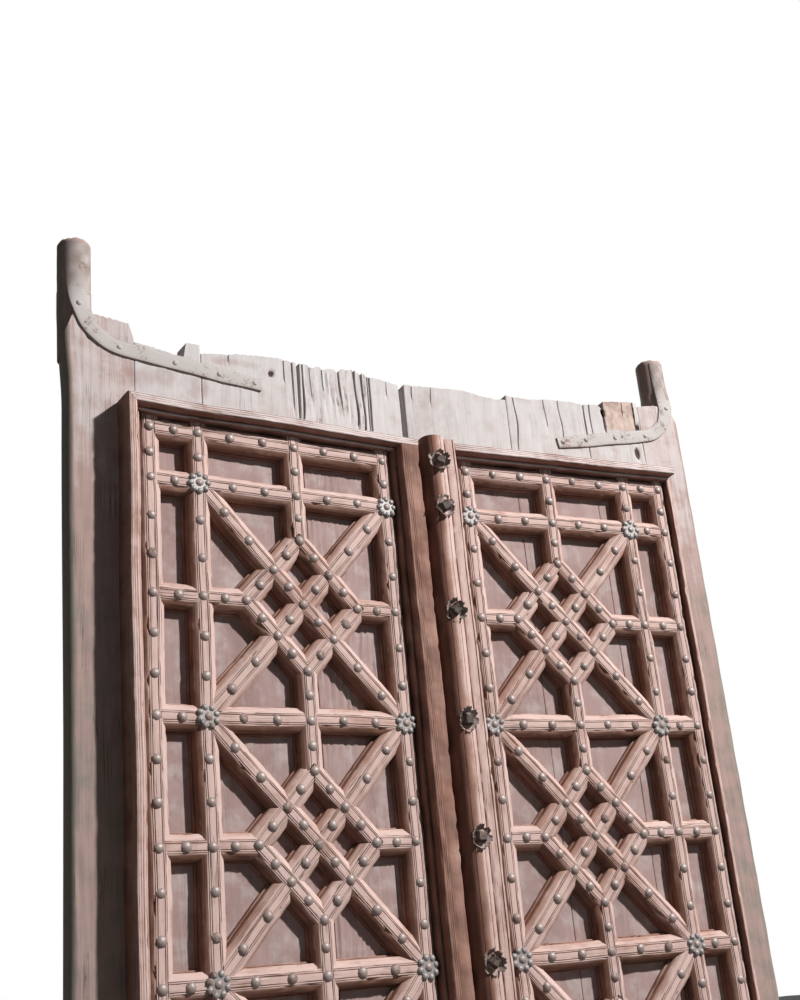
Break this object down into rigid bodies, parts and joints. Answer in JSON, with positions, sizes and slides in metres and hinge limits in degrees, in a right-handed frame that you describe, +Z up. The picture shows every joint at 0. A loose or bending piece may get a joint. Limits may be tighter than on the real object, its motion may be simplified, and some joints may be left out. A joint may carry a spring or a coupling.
{
  "type": "carved wooden door",
  "caption": "Pair of weathered plank door leaves on pivot horns, with a moulded frame, a studded lattice of crossed squares, a half-round meeting post and a plain threshold.",
  "frame": {"origin": "middle of the threshold's underside, midway between the two pivot axes", "axes": "+Z up along the pivot axes, carved face toward -Y, left leaf at -X, leaves open toward +Y"},
  "size_m": [1.495, 0.17, 2.463],
  "materials": {
    "boards": "weathered grey timber",
    "carved_wood": "worn oiled timber",
    "iron": "forged, weathered"
  },
  "bodies": {
    "threshold": {"threshold": "boards", "left_socket": "iron", "right_socket": "iron"},
    "left_leaf": {"left_pivot_stile": "boards", "left_board_1": "boards", "left_board_2": "boards", "left_board_3": "boards", "left_board_4": "boards", "left_battens": "boards", "left_frame_top": "carved_wood", "left_frame_bottom": "carved_wood", "left_frame_hinge": "carved_wood", "left_frame_meeting": "carved_wood", "left_lattice_uprights": "carved_wood", "left_lattice_rails": "carved_wood", "left_lattice_through": "carved_wood", "left_lattice_lapped": "carved_wood", "left_studs": "iron", "left_rosettes": "iron", "left_strap": "iron", "left_strap_nails": "iron"},
    "right_leaf": {"right_pivot_stile": "boards", "right_board_1": "boards", "right_board_2": "boards", "right_board_3": "boards", "right_battens": "boards", "right_frame_top": "carved_wood", "right_frame_bottom": "carved_wood", "right_frame_hinge": "carved_wood", "right_post": "carved_wood", "right_post_bosses": "iron", "right_lattice_uprights": "carved_wood", "right_lattice_rails": "carved_wood", "right_lattice_through": "carved_wood", "right_lattice_lapped": "carved_wood", "right_studs": "iron", "right_rosettes": "iron", "right_strap": "iron", "right_strap_nails": "iron"}
  },
  "joints": [
    {"name": "left_leaf_swing", "type": "hinge", "parent": "threshold", "child": "left_leaf", "pos_m": [-0.6625, 0, 0.1], "axis": [0, 0, 1], "range_deg": [-3, 95]},
    {"name": "right_leaf_swing", "type": "hinge", "parent": "threshold", "child": "right_leaf", "pos_m": [0.6625, 0, 0.1], "axis": [0, 0, -1], "range_deg": [-3, 95]}
  ]
}
